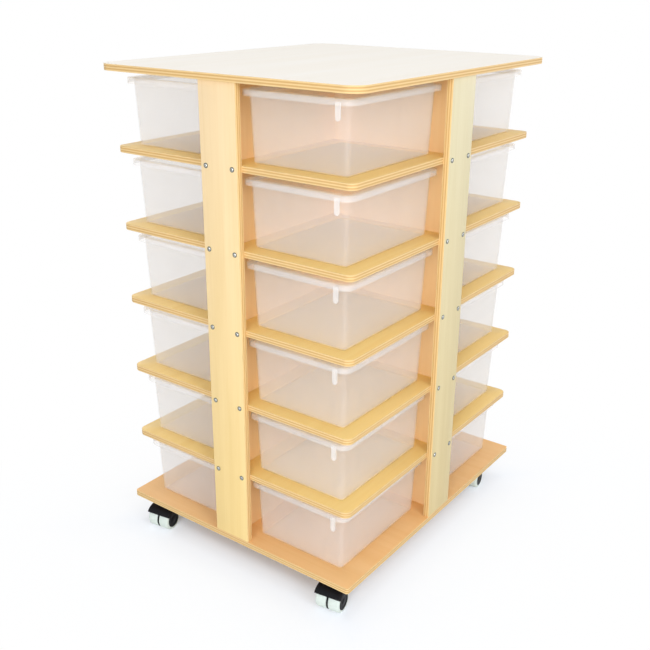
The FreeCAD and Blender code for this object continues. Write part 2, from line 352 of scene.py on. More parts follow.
def laminate():
    """The top's hard pale face, with the faintest grain printed in it."""
    material, tree, surface = new_material("top_laminate")
    figure = noise(tree, object_position(tree, (30, 1.5, 30)), 1.0, 4.0, 0.6, 0.4)
    colour = ramp(tree, figure, [(0.3, (0.95, 0.895, 0.80)), (0.7, (0.97, 0.93, 0.86))])
    tree.links.new(colour, surface.inputs["Base Color"])
    surface.inputs["Roughness"].default_value = 0.4
    speckle = noise(tree, object_position(tree), 900.0, 2.0)
    add_bump(tree, surface, speckle, 0.03, 0.0002)
    return material


def frosted(name, pale, deep, alpha):
    """Frosted clear plastic: milky, and the milkier the more of it there is to look through."""
    material, tree, surface = new_material(name)
    clouds = noise(tree, object_position(tree), 14.0, 3.0)
    tree.links.new(ramp(tree, clouds, [(0.3, deep), (0.7, pale)]), surface.inputs["Base Color"])
    surface.inputs["Roughness"].default_value = 0.38
    surface.inputs["Alpha"].default_value = alpha
    texture = noise(tree, object_position(tree), 1400.0, 2.0)
    add_bump(tree, surface, texture, 0.05, 0.0002)
    return material


def moulded(name, pale, deep, shine, bump):
    """Moulded plastic or rubber with a fine matt texture."""
    material, tree, surface = new_material(name)
    speckle = noise(tree, object_position(tree), 700.0, 3.0)
    tree.links.new(ramp(tree, speckle, [(0.3, deep), (0.7, pale)]), surface.inputs["Base Color"])
    surface.inputs["Roughness"].default_value = 0.42
    surface.inputs["Specular IOR Level"].default_value = shine
    add_bump(tree, surface, speckle, bump, 0.0003)
    return material


def zinc(name, pale, deep, roughness):
    """Zinc-plated steel with a slightly cloudy brightness."""
    material, tree, surface = new_material(name)
    clouds = noise(tree, object_position(tree), 320.0, 4.0)
    tree.links.new(ramp(tree, clouds, [(0.3, deep), (0.7, pale)]), surface.inputs["Base Color"])
    surface.inputs["Metallic"].default_value = 1.0
    surface.inputs["Roughness"].default_value = roughness
    add_bump(tree, surface, clouds, 0.05, 0.0001)
    return material


# ---------------------------------------------------------------- mesh helpers


def smooth_but_sharp(bm):
    """Shades every face smooth and keeps the edges that turn by more than an angle."""
    limit = math.radians(SHARP_DEGREES)
    for face in bm.faces:
        face.smooth = True
    for edge in bm.edges:
        edge.smooth = len(edge.link_faces) == 2 and edge.calc_face_angle(math.pi) < limit


def make_piece(name, bm, materials, body, nodes):
    """Turns a bmesh into a finished piece that rides on a body and stands for CAD nodes."""
    smooth_but_sharp(bm)
    mesh = bpy.data.meshes.new(name)
    bm.to_mesh(mesh)
    bm.free()
    for material in materials:
        mesh.materials.append(material)
    piece = bpy.data.objects.new(name, mesh)
    bpy.context.scene.collection.objects.link(piece)
    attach(piece, body)
    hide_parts(*nodes)
    return piece


def dress_node(node, material):
    """Gives a CAD node that is kept as it is a better material."""
    materials = frame["nodes"][node].data.materials
    materials.clear()
    materials.append(material)


def round_corner(x, y, radius, quarter, steps):
    """Points of a quarter circle about (x, y), anticlockwise, starting at that quarter's angle."""
    points = []
    for step in range(steps + 1):
        angle = math.radians(90 * (quarter + step / steps))
        points.append((x + radius * math.cos(angle), y + radius * math.sin(angle)))
    return points


def plan_outline(low, high, radius, steps=ARC_STEPS):
    """A rectangle's outline with rounded corners, anticlockwise."""
    corners = ((high[0], high[1]), (low[0], high[1]), (low[0], low[1]), (high[0], low[1]))
    inward = ((-1, -1), (1, -1), (1, 1), (-1, 1))
    points = []
    for quarter, ((x, y), (dx, dy)) in enumerate(zip(corners, inward)):
        points += round_corner(x + dx * radius, y + dy * radius, radius, quarter, steps)
    return points


def ease_and_paint(bm, faces, rims, thin_axis):
    """Eases a board's edges; its two broad faces get material 0 and its sawn edges material 1."""
    verts = {vert for face in faces for vert in face.verts}
    made = bmesh.ops.bevel(bm, geom=rims, offset=EASED_EDGE, segments=3, profile=0.5, affect="EDGES")
    verts = {vert for vert in verts if vert.is_valid} | set(made["verts"])
    for face in {face for vert in verts for face in vert.link_faces}:
        face.normal_update()
        face.material_index = 0 if abs(face.normal[thin_axis]) > FLAT_ENOUGH else 1


def add_board(bm, outline, low_z, high_z):
    """Adds a flat board of any outline."""
    lower = [bm.verts.new((x, y, low_z)) for x, y in outline]
    upper = [bm.verts.new((x, y, high_z)) for x, y in outline]
    faces = [bm.faces.new(reversed(lower)), bm.faces.new(upper)]
    for index in range(len(outline)):
        quad = (lower[index - 1], lower[index], upper[index], upper[index - 1])
        faces.append(bm.faces.new(quad))
    rims = list(faces[0].edges) + list(faces[1].edges)
    ease_and_paint(bm, faces, rims, 2)


def cube_between(bm, low, high):
    """Adds a box between two corners and returns its points."""
    made = bmesh.ops.create_cube(bm, size=1.0)["verts"]
    size = high - low
    for vert in made:
        vert.co = Vector(low[k] + (vert.co[k] + 0.5) * size[k] for k in range(3))
    return made


def add_block(bm, low, high, thin_axis):
    """Adds an upright board with all its edges eased."""
    made = cube_between(bm, low, high)
    faces = {face for vert in made for face in vert.link_faces}
    edges = {edge for vert in made for edge in vert.link_edges}
    ease_and_paint(bm, faces, list(edges), thin_axis)


def add_rings(bm, rings, bands=None, caps=None):
    """Joins closed rings with quads, each band with its own material, and caps both ends."""
    loops = [[bm.verts.new(point) for point in ring] for ring in rings]
    bands = bands or [0] * (len(rings) - 1)
    count = len(loops[0])
    for lower, upper, material in zip(loops, loops[1:], bands):
        for index in range(count):
            face = bm.faces.new((lower[index - 1], lower[index], upper[index], upper[index - 1]))
            face.material_index = material
    first, last = caps or (bands[0], bands[-1])
    bm.faces.new(loops[0][::-1]).material_index = first
    bm.faces.new(loops[-1]).material_index = last


def lathe(bm, profile, place, steps=48, material=0):
    """Adds a turned solid: an open profile of (distance along, radius) about a place's local Y axis."""
    rings = []
    for along, radius in profile:
        ring = []
        for step in range(steps):
            angle = math.tau * step / steps
            point = (radius * math.cos(angle), along, radius * math.sin(angle))
            ring.append(place @ Vector(point))
        rings.append(ring)
    add_rings(bm, rings, [material] * (len(rings) - 1))


def rounded_quarter(along, radius, size, step_along, outwards, steps=4):
    """Profile points round a quarter circle, from its flat side to its outer side or back."""
    points = []
    for step in range(steps + 1):
        angle = math.pi / 2 * step / steps
        if not outwards:
            angle = math.pi / 2 - angle
        points.append((
            along + step_along * size * (1 - math.cos(angle)),
            radius - size * (1 - math.sin(angle)),
        ))
    return points


# ---------------------------------------------------------------- geometry nodes


def start_tree(name, inputs):
    """A geometry node group that takes points; returns it, its named inputs, and its two end nodes."""
    tree = bpy.data.node_groups.new(name, "GeometryNodeTree")
    tree.interface.new_socket("Points", in_out="INPUT", socket_type="NodeSocketGeometry")
    sockets = {}
    for label, kind in inputs.items():
        socket_type = f"NodeSocket{kind}"
        sockets[label] = tree.interface.new_socket(label, in_out="INPUT", socket_type=socket_type)
    tree.interface.new_socket("Made", in_out="OUTPUT", socket_type="NodeSocketGeometry")
    return tree, sockets, add_node(tree, "NodeGroupInput"), add_node(tree, "NodeGroupOutput")


def vector_node(tree, x, y, z):
    node = add_node(tree, "ShaderNodeCombineXYZ")
    for socket, value in zip(node.inputs, (x, y, z)):
        feed(tree, socket, value)
    return node.outputs[0]


def through(tree, kind, geometry, settings=None, **inputs):
    """Passes geometry through a node, with its named inputs fed; returns its first output."""
    node = add_node(tree, kind, **(settings or {}))
    tree.links.new(geometry, node.inputs[0])
    for label, value in inputs.items():
        feed(tree, node.inputs[label.replace("_", " ")], value)
    return node.outputs[0]


def join(tree, *parts):
    node = add_node(tree, "GeometryNodeJoinGeometry")
    for part in parts:
        tree.links.new(part, node.inputs["Geometry"])
    return node.outputs["Geometry"]


def named_vector(tree, name):
    node = add_node(tree, "GeometryNodeInputNamedAttribute", data_type="FLOAT_VECTOR")
    node.inputs["Name"].default_value = name
    return node.outputs["Attribute"]


def end_tree(tree, target, instances, materials):
    """Makes the instances real and gives them their materials, each with the faces that it is for."""
    made = through(tree, "GeometryNodeRealizeInstances", instances)
    for material, faces in materials:
        made = through(tree, "GeometryNodeSetMaterial", made, Material=material, Selection=faces)
    tree.links.new(made, target.inputs[0])


def grow_on_points(name, places, attribute, tree, sockets, values):
    """Runs a tree on points that each carry a vector; returns what it makes, and its materials."""
    mesh = bpy.data.meshes.new(f"{name}_points")
    mesh.from_pydata([place for place, _ in places], [], [])
    vectors = mesh.attributes.new(attribute, "FLOAT_VECTOR", "POINT")
    for item, (_, vector) in zip(vectors.data, places):
        item.vector = vector
    points = bpy.data.objects.new(f"{name}_points", mesh)
    bpy.context.scene.collection.objects.link(points)
    modifier = points.modifiers.new(name, "NODES")
    modifier.node_group = tree
    for label, value in values.items():
        modifier[sockets[label].identifier] = value
    graph = bpy.context.evaluated_depsgraph_get()
    made = bpy.data.meshes.new_from_object(points.evaluated_get(graph))
    points.modifiers.remove(modifier)
    bpy.data.objects.remove(points)
    bm = bmesh.new()
    bm.from_mesh(made)
    materials = list(made.materials)
    bpy.data.meshes.remove(made)
    bmesh.ops.remove_doubles(bm, verts=bm.verts, dist=1e-6)
    bmesh.ops.recalc_face_normals(bm, faces=bm.faces)
    return bm, materials


def quarter_shelf_tree():
    """A rectangle with its outer corner rounded, made into a board, and mirrored to every quarter."""
    inputs = dict.fromkeys(("Width", "Depth", "Thickness", "Corner radius"), "Float")
    inputs["Veneer"] = "Material"
    tree, sockets, source, target = start_tree("quarter_shelves", inputs)
    plan = add_node(tree, "GeometryNodeCurvePrimitiveQuadrilateral", mode="RECTANGLE")
    feed(tree, plan.inputs["Width"], source.outputs["Width"])
    feed(tree, plan.inputs["Height"], source.outputs["Depth"])
    index = add_node(tree, "GeometryNodeInputIndex").outputs[0]
    is_outer = math_node(tree, "COMPARE", index, 0.0, 0.5)
    radius = math_node(tree, "MULTIPLY", is_outer, source.outputs["Corner radius"])
    count = math_node(tree, "MULTIPLY_ADD", is_outer, ARC_STEPS - 1.0, 1.0)
    arc = {"Radius": radius, "Count": count}
    curve = through(tree, "GeometryNodeFilletCurve", plan.outputs["Curve"], {"mode": "POLY"}, **arc)
    plate = through(tree, "GeometryNodeFillCurve", curve, {"mode": "NGONS"})
    lift = vector_node(tree, 0.0, 0.0, source.outputs["Thickness"])
    raised = add_node(tree, "GeometryNodeExtrudeMesh", mode="FACES")
    tree.links.new(plate, raised.inputs["Mesh"])
    tree.links.new(lift, raised.inputs["Offset"])
    raised.inputs["Offset Scale"].default_value = 1.0
    raised.inputs["Individual"].default_value = False
    board = join(tree, raised.outputs["Mesh"], through(tree, "GeometryNodeFlipFaces", plate))
    board = through(tree, "GeometryNodeMergeByDistance", board, Distance=1e-6)
    quarters = add_node(tree, "GeometryNodeInstanceOnPoints")
    tree.links.new(source.outputs["Points"], quarters.inputs["Points"])
    tree.links.new(board, quarters.inputs["Instance"])
    tree.links.new(named_vector(tree, "side"), quarters.inputs["Scale"])
    end_tree(tree, target, quarters.outputs["Instances"], [(source.outputs["Veneer"], True)])
    return tree, sockets


def domed_head(tree, radius, height):
    """A screw's dome, with a cross cut into its top."""
    ball = add_node(tree, "GeometryNodeMeshUVSphere")
    ball.inputs["Segments"].default_value = SCREW_FACETS
    ball.inputs["Rings"].default_value = 12
    ball.inputs["Radius"].default_value = 1.0
    size = vector_node(tree, radius, radius, height)
    dome = through(tree, "GeometryNodeTransform", ball.outputs["Mesh"], Scale=size)
    cut = add_node(tree, "GeometryNodeMeshBoolean", operation="DIFFERENCE")
    tree.links.new(dome, cut.inputs["Mesh 1"])
    long = math_node(tree, "MULTIPLY", radius, RECESS_LENGTH)
    thin = math_node(tree, "MULTIPLY", radius, RECESS_WIDTH)
    deep = math_node(tree, "MULTIPLY", height, RECESS_HEIGHT)
    lift = vector_node(tree, 0.0, 0.0, math_node(tree, "MULTIPLY", height, RECESS_LIFT))
    for turn in (0, math.pi / 2):
        blade = add_node(tree, "GeometryNodeMeshCube")
        feed(tree, blade.inputs["Size"], vector_node(tree, long, thin, deep))
        moves = {"Translation": lift, "Rotation": (0, 0, turn)}
        placed = through(tree, "GeometryNodeTransform", blade.outputs["Mesh"], **moves)
        tree.links.new(placed, cut.inputs["Mesh 2"])
    return cut.outputs["Mesh"]


def round_bar(tree, facets, radius, depth):
    """A plain cylinder about its own middle."""
    bar = add_node(tree, "GeometryNodeMeshCylinder")
    bar.inputs["Vertices"].default_value = facets
    feed(tree, bar.inputs["Radius"], radius)
    feed(tree, bar.inputs["Depth"], depth)
    return bar.outputs["Mesh"]


def flange_mark(tree, mesh):
    """Marks faces as a screw's flange."""
    marked = add_node(tree, "GeometryNodeStoreNamedAttribute", data_type="BOOLEAN", domain="FACE")
    marked.inputs["Name"].default_value = "flange"
    marked.inputs["Value"].default_value = True
    tree.links.new(mesh, marked.inputs["Geometry"])
    return marked.outputs["Geometry"]


def facing_turn(tree):
    """The turn that stands a screw along its point's direction, spun by chance about its own axis."""
    align = add_node(tree, "FunctionNodeAlignRotationToVector", axis="Z")
    feed(tree, align.inputs["Vector"], named_vector(tree, "facing"))
    spin = add_node(tree, "FunctionNodeRandomValue", data_type="FLOAT")
    spin.inputs["Seed"].default_value = SCREW_SEED
    spin.inputs[2].default_value = 0.0
    spin.inputs[3].default_value = math.pi
    about = add_node(tree, "FunctionNodeAxisAngleToRotation")
    about.inputs["Axis"].default_value = (0, 0, 1)
    feed(tree, about.inputs["Angle"], spin.outputs[1])
    turned = add_node(tree, "FunctionNodeRotateRotation", rotation_space="LOCAL")
    feed(tree, turned.inputs["Rotation"], align.outputs["Rotation"])
    feed(tree, turned.inputs["Rotate By"], about.outputs["Rotation"])
    return turned.outputs["Rotation"]


def screw_tree():
    """A domed screw with a cross recess on every point, along its direction."""
    inputs = dict.fromkeys(("Head radius", "Dome height", "Shank radius", "Shank length"), "Float")
    inputs["Metal"] = "Material"
    inputs["Flange painted shade"] = "Material"
    tree, sockets, source, target = start_tree("screws", inputs)
    head_radius = source.outputs["Head radius"]
    dome_height = source.outputs["Dome height"]
    shank_length = source.outputs["Shank length"]
    head = domed_head(tree, math_node(tree, "MULTIPLY", head_radius, DOME_SHARE), dome_height)
    flange_depth = math_node(tree, "MULTIPLY", dome_height, FLANGE_SHARE)
    flange = flange_mark(tree, round_bar(tree, SCREW_FACETS, head_radius, flange_depth))
    shank = round_bar(tree, 16, source.outputs["Shank radius"], shank_length)
    sink = vector_node(tree, 0.0, 0.0, math_node(tree, "MULTIPLY", shank_length, -0.5))
    shank = through(tree, "GeometryNodeTransform", shank, Translation=sink)
    placed = add_node(tree, "GeometryNodeInstanceOnPoints")
    tree.links.new(source.outputs["Points"], placed.inputs["Points"])
    tree.links.new(join(tree, head, shank, flange), placed.inputs["Instance"])
    tree.links.new(facing_turn(tree), placed.inputs["Rotation"])
    # The flanges get the second material, a dark painted shade round each bright dome.
    is_flange = add_node(tree, "GeometryNodeInputNamedAttribute", data_type="BOOLEAN")
    is_flange.inputs["Name"].default_value = "flange"
    metal_and_painted_shade = [
        (source.outputs["Metal"], True),
        (source.outputs["Flange painted shade"], is_flange.outputs["Attribute"]),
    ]
    end_tree(tree, target, placed.outputs["Instances"], metal_and_painted_shade)
    return tree, sockets


# ---------------------------------------------------------------- boards


def make_top(face, edge, underside):
    low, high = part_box("top_board")
    bm = bmesh.new()
    add_board(bm, plan_outline(low, high, TOP_CORNER_RADIUS), low[2], high[2])
    for broad in bm.faces:
        if broad.normal.z < -FLAT_ENOUGH:
            broad.material_index = 2
    return make_piece("laminate_top", bm, [face, edge, underside], "carcass", ["top_board"])


def make_base(face, edge):
    low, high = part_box("base_board")
    bm = bmesh.new()
    add_board(bm, plan_outline(low, high, BASE_CORNER_RADIUS), low[2], high[2])
    return make_piece("plywood_base", bm, [face, edge], "carcass", ["base_board"])


def is_rim(line):
    """Whether a mesh edge runs between a flat board's broad face and its side."""
    return sum(abs(face.normal.z) > FLAT_ENOUGH for face in line.link_faces) == 1


def make_shelves(level, tree, sockets, face, edge):
    """The four quarter shelves of one level, let into the dividers and planks on their inner sides."""
    node = f"shelf_level_{level}"
    low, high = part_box(node)
    inner = BOARD_THICKNESS / 2 - HOUSING_DEPTH
    name = f"quarter_shelves_{level}"
    middle_x = (inner + high[0]) / 2
    middle_y = (inner + high[1]) / 2
    places = [((x * middle_x, y * middle_y, low[2]), (x, y, 1)) for x in (-1, 1) for y in (-1, 1)]
    values = {
        "Width": high[0] - inner,
        "Depth": high[1] - inner,
        "Thickness": high[2] - low[2],
        "Corner radius": SHELF_CORNER_RADIUS,
        "Veneer": face,
    }
    bm, _ = grow_on_points(name, places, "side", tree, sockets, values)
    ease_and_paint(bm, list(bm.faces), [line for line in bm.edges if is_rim(line)], 2)
    return make_piece(name, bm, [face, edge], "carcass", [node])


def make_plank(side, face, edge):
    node = f"{side}_plank"
    low, high = (Vector(corner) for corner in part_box(node))
    bm = bmesh.new()
    add_block(bm, low, high, 1 if side in ("front", "back") else 0)
    return make_piece(f"upright_{side}", bm, [face, edge], "carcass", [node])


# ---------------------------------------------------------------- trays


def wall_inset(height, tray_height):
    """How far the outside of a tray's wall stands in from the outside of its rim."""
    return RIM_WIDTH + WALL_TAPER * (1 - height / tray_height)


def tray_ring(half_width, half_length, inset, height, tray_height):
    """Points round a tray at a height; its corners are wide at the rim and tighter at the wall."""
    beyond_wall = wall_inset(height, tray_height) - inset
    if beyond_wall > 0:
        radius = BODY_RADIUS + (RIM_RADIUS - BODY_RADIUS) * min(beyond_wall / RIM_WIDTH, 1)
    else:
        radius = max(BODY_RADIUS + beyond_wall, LEAST_RADIUS)
    low = (inset - half_width, inset - half_length)
    high = (half_width - inset, half_length - inset)
    return [(x, y, height) for x, y in plan_outline(low, high, radius, TRAY_CORNER_STEPS)]


def quarter_turn(inset, height, radius, start, end, steps=4):
    """(inset, height) points round a small arc between two angles in degrees, 0 pointing outwards."""
    points = []
    for step in range(steps + 1):
        angle = math.radians(start + (end - start) * step / steps)
        points.append((inset - radius * math.cos(angle), height + radius * math.sin(angle)))
    return points


def tray_profile(height):
    """(inset, height) points of the outside wall, the turned-down rim and the inside wall.

    The floor is a panel raised a little off its shelf, inside a foot that runs all round.
    """
    skirt = RIM_THICKNESS
    lip = height - RIM_DROP
    foot = wall_inset(0, height)
    shoulder = wall_inset(height, height)
    middle = wall_inset(height / 2, height)
    inner_round = FLOOR_ROUND - TRAY_WALL
    outside = [(foot + FLOOR_ROUND + FOOT_WIDTH, PANEL_LIFT)]
    outside += quarter_turn(foot + FLOOR_ROUND, FLOOR_ROUND, FLOOR_ROUND, -90, 0)
    outside.append((middle, height / 2))
    rim = [
        (shoulder, height - RIM_THROAT),
        (shoulder - skirt, height - skirt),
        (RIM_BEND, height - skirt),
        (skirt, height - RIM_BEND),
        (skirt, lip + LIP_EDGE),
        (skirt - LIP_EDGE, lip),
        (LIP_EDGE, lip),
        (0.0, lip + LIP_EDGE),
    ]
    rim += quarter_turn(LIP_ROUND, height - LIP_ROUND, LIP_ROUND, 0, 90)
    rim += quarter_turn(shoulder + TRAY_WALL - LIP_ROUND, height - LIP_ROUND, LIP_ROUND, 90, 180)
    inside = [(middle + TRAY_WALL, height / 2)]
    inside += quarter_turn(foot + TRAY_WALL + inner_round, FLOOR_ROUND, inner_round, 0, -90)
    return outside, rim, inside


def add_lug(bm, middle, front, height):
    """Adds a lug under the rim of the front wall: a long tab with its lower corners cut off."""
    half = LUG_WIDTH / 2
    top = height - RIM_DROP + LUG_RISE
    low = height - LUG_DROP
    outline = [
        (middle - half, top),
        (middle - half, low + LUG_CHAMFER),
        (middle - half + LUG_CHAMFER, low),
        (middle + half - LUG_CHAMFER, low),
        (middle + half, low + LUG_CHAMFER),
        (middle + half, top),
    ]
    depths = (front + LUG_RECESS, front + LUG_RECESS + LUG_THICKNESS)
    add_rings(bm, [[(x, y, z) for x, z in outline] for y in depths], [2])


def make_tray(bay, tier, plastics):
    """One frosted tray, front outwards, on its own shelf.

    Frosted plastic scatters light forwards, so it casts no shadow.
    """
    node = f"tray_{bay}_{tier}"
    low, high = (Vector(corner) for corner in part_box(node))
    size = high - low
    middle = (low + high) / 2
    outside, rim, inside = tray_profile(size.z)
    profile = outside + rim + inside
    bands = [0] * len(outside) + [1] * (len(rim) - 1) + [0] * len(inside)
    rings = [tray_ring(size.x / 2, size.y / 2, inset, z, size.z) for inset, z in profile]
    bm = bmesh.new()
    add_rings(bm, rings, bands, (3, 3))
    add_lug(bm, size.x / 2 - LUG_TO_CORNER - LUG_WIDTH / 2, -size.y / 2, size.z)
    bmesh.ops.recalc_face_normals(bm, faces=bm.faces)
    turn = Matrix.Rotation(0 if bay.startswith("front") else math.pi, 4, "Z")
    bm.transform(Matrix.Translation((middle.x, middle.y, low.z)) @ turn)
    piece = make_piece(f"clear_{node}", bm, plastics, node, [node])
    piece.visible_shadow = False
    return piece


# ---------------------------------------------------------------- castors


def castor_place(bay):
    """The castor's own frame: on the floor under the swivel, X towards the wheels, Y along the axle."""
    swivel = JOINTS[f"castor_swivel_{bay}"]
    along = Vector(JOINTS[f"wheel_spin_{bay}_a"]["axis"]).normalized()
    trail = along.cross(Vector((0, 0, 1)))
    place = Matrix((trail, along, (0, 0, 1))).transposed().to_4x4()
    place.translation = Vector((swivel["pos_m"][0], swivel["pos_m"][1], 0))
    return place


def add_fender(bm, axle, steps=18):
    """Adds the curved cover over both wheels, with round shoulders and a thin cheek down each side."""
    inner = HOOD_RADIUS - HOOD_WALL
    cheek = HOOD_HALF_WIDTH - CHEEK_WALL
    half = HOOD_HALF_WIDTH
    shoulder = half - HOOD_ROUND
    section = [(-cheek, CHEEK_RADIUS), (-cheek, inner), (cheek, inner), (cheek, CHEEK_RADIUS)]
    section.append((half, CHEEK_RADIUS))
    for side in (1, -1):
        arc = []
        for step in range(HOOD_ROUND_STEPS + 1):
            angle = math.radians(90 * step / HOOD_ROUND_STEPS)
            along = shoulder + HOOD_ROUND * math.cos(angle)
            arc.append((side * along, HOOD_RADIUS - HOOD_ROUND * (1 - math.sin(angle))))
        section += arc if side > 0 else arc[::-1]
    section.append((-half, CHEEK_RADIUS))
    rings = []
    for step in range(steps + 1):
        angle = math.radians(HOOD_EDGE_DEGREES + (180 - 2 * HOOD_EDGE_DEGREES) * step / steps)
        across, up = math.cos(angle), math.sin(angle)
        rings.append([axle @ Vector((r * across, y, r * up)) for y, r in section])
    add_rings(bm, rings)


def solid_disc(half, radius):
    """The turned profile of a plain disc."""
    return [(-half, NEARLY_NOTHING), (-half, radius), (half, radius), (half, NEARLY_NOTHING)]


def make_castor_body(bay, black):
    """A castor's body: the wheels' cover, the swivel boss and its neck, the web and the axle's hub."""
    place = castor_place(bay)
    axle = place @ Matrix.Translation((CASTOR_TRAIL, 0, WHEEL_RADIUS))
    bm = bmesh.new()
    add_fender(bm, axle)
    web = WHEEL_GAP / 2 - WHEEL_CLEARANCE
    lathe(bm, solid_disc(web, WEB_RADIUS), axle)
    hub = WHEEL_GAP / 2 + CUP_DEPTH - AXLE_HUB_CLEARANCE
    lathe(bm, solid_disc(hub, AXLE_HUB_RADIUS), axle, steps=32)
    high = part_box(f"castor_hood_{bay}")[1][2]
    foot = WHEEL_RADIUS + HOOD_RADIUS * math.sin(math.radians(HOOD_EDGE_DEGREES))
    boss = [
        (foot, PIN_BORE_RADIUS),
        (foot, BOSS_RADIUS - BOSS_EASE),
        (foot + BOSS_EASE, BOSS_RADIUS),
        (high - BOSS_EASE, BOSS_RADIUS),
        (high, BOSS_RADIUS - BOSS_EASE),
        (high, PIN_BORE_RADIUS),
    ]
    lathe(bm, boss, place @ Matrix.Rotation(math.pi / 2, 4, "X"), steps=40)
    hood_top = WHEEL_RADIUS + HOOD_RADIUS
    neck_low = Vector((NECK_INSET, -BOSS_RADIUS, hood_top - NECK_DROP))
    neck_high = Vector((CASTOR_TRAIL - NECK_INSET, BOSS_RADIUS, hood_top - HOOD_WALL))
    for vert in cube_between(bm, neck_low, neck_high):
        vert.co = place @ vert.co
    bmesh.ops.recalc_face_normals(bm, faces=bm.faces)
    name = f"moulded_hood_{bay}"
    return make_piece(name, bm, [black], f"castor_{bay}", [f"castor_hood_{bay}"])


def wheel_profiles(side):
    """Turned profiles of one wheel, outwards from the gap: the tread with its cup, and the hub disc."""
    inner = WHEEL_GAP / 2
    outer = WHEEL_PAIR_WIDTH / 2
    face = outer - WHEEL_FACE_RECESS
    tread = [(inner + CUP_DEPTH, BORE_RADIUS), (inner + CUP_DEPTH, CUP_RADIUS), (inner, CUP_RADIUS)]
    tread += rounded_quarter(inner, WHEEL_RADIUS, WHEEL_SHOULDER, 1, True)
    tread += rounded_quarter(face, WHEEL_RADIUS, WHEEL_SHOULDER, -1, False)
    seat = face - HUB_DISC_SEAT
    tread += [(face, HUB_DISC_RADIUS), (seat, HUB_DISC_RADIUS), (seat, SEAT_MIDDLE)]
    disc = [(outer - sunk, radius) for sunk, radius in HUB_DISC_SHAPE]
    return [[(side * along, radius) for along, radius in profile] for profile in (tread, disc)]


def make_wheel(bay, letter, tread, black):
    """One wheel of a castor: a pale tread with round shoulders and a black hub disc."""
    axle = castor_place(bay) @ Matrix.Translation((CASTOR_TRAIL, 0, WHEEL_RADIUS))
    bm = bmesh.new()
    for material, profile in enumerate(wheel_profiles(-1 if letter == "a" else 1)):
        lathe(bm, profile, axle, steps=64, material=material)
    bmesh.ops.recalc_face_normals(bm, faces=bm.faces)
    node = f"castor_wheel_{bay}_{letter}"
    return make_piece(f"wheel_{bay}_{letter}", bm, [tread, black], node, [node])


# ---------------------------------------------------------------- screws


def make_screws(node, seats, length, tree, sockets, metal_and_painted_shade):
    """Screws at (seat, direction outwards) places, as one piece."""
    values = {
        "Head radius": SCREW_HEAD_RADIUS,
        "Dome height": SCREW_DOME,
        "Shank radius": SCREW_SHANK_RADIUS,
        "Shank length": length,
        "Metal": metal_and_painted_shade[0],
        "Flange painted shade": metal_and_painted_shade[1],
    }
    bm, materials = grow_on_points(node, seats, "facing", tree, sockets, values)
    return make_piece(f"zinc_{node}", bm, materials, "carcass", [node])


def plank_seats():
    """Two screws in each plank at each shelf level, in the middle of the shelf's thickness."""
    seats = []
    for level in range(1, SHELF_LEVELS + 1):
        low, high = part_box(f"shelf_level_{level}")
        height = (low[2] + high[2]) / 2
        for offset in (-SCREW_SPACING / 2, SCREW_SPACING / 2):
            for sign in (-1, 1):
                seats.append(((offset, sign * BASE_HIGH[1], height), (0, sign, 0)))
                seats.append(((sign * BASE_HIGH[0], offset, height), (sign, 0, 0)))
    return seats


def castor_plate_seats():
    """Four screws up through each castor plate."""
    seats = []
    half = CASTOR_SCREW_SPACING / 2
    for bay in BAYS:
        x, y, _ = JOINTS[f"castor_swivel_{bay}"]["pos_m"]
        for dx in (-half, half):
            for dy in (-half, half):
                seats.append(((x + dx, y + dy, BASE_UNDERSIDE - PLATE_THICKNESS), (0, 0, -1)))
    return seats


def base_seats():
    """Screws up through the base into the planks and dividers."""
    places = []
    for side in (-1, 1):
        for sign in (-1, 1):
            places.append((side * FIXING_SPACING / 2, sign * (SHELF_HALF_DEPTH + BOARD_THICKNESS / 2)))
            places.append((sign * (SHELF_HALF_WIDTH + BOARD_THICKNESS / 2), side * FIXING_SPACING / 2))
        places.append((0, side * (SHELF_HALF_DEPTH - FIXING_FROM_EDGE)))
        places.append((side * (SHELF_HALF_WIDTH - FIXING_FROM_EDGE), 0))
    return [((x, y, BASE_UNDERSIDE), (0, 0, -1)) for x, y in places]


# ---------------------------------------------------------------- stage


def seen_directly(tree):
    """1 for what the camera sees straight, mirrored or through a clear surface; 0 for bounced light."""
    path = add_node(tree, "ShaderNodeLightPath")
    seen = math_node(tree, "MAXIMUM", path.outputs["Is Camera Ray"], path.outputs["Is Transmission Ray"])
    return math_node(tree, "MAXIMUM", seen, path.outputs["Is Glossy Ray"])


def make_floor(seen_colour, bounced_colour):
    """A wide pale floor, shaded under and near the object and seen as plain white further off."""
    mesh = bpy.data.meshes.new("floor")
    corners = [(x * FLOOR_REACH, y * FLOOR_REACH, 0) for x, y in ((-1, -1), (1, -1), (1, 1), (-1, 1))]
    mesh.from_pydata(corners, [], [(0, 1, 2, 3)])
    mesh.materials.append(floor_material(seen_colour, bounced_colour))
    floor = bpy.data.objects.new("floor", mesh)
    bpy.context.scene.collection.objects.link(floor)


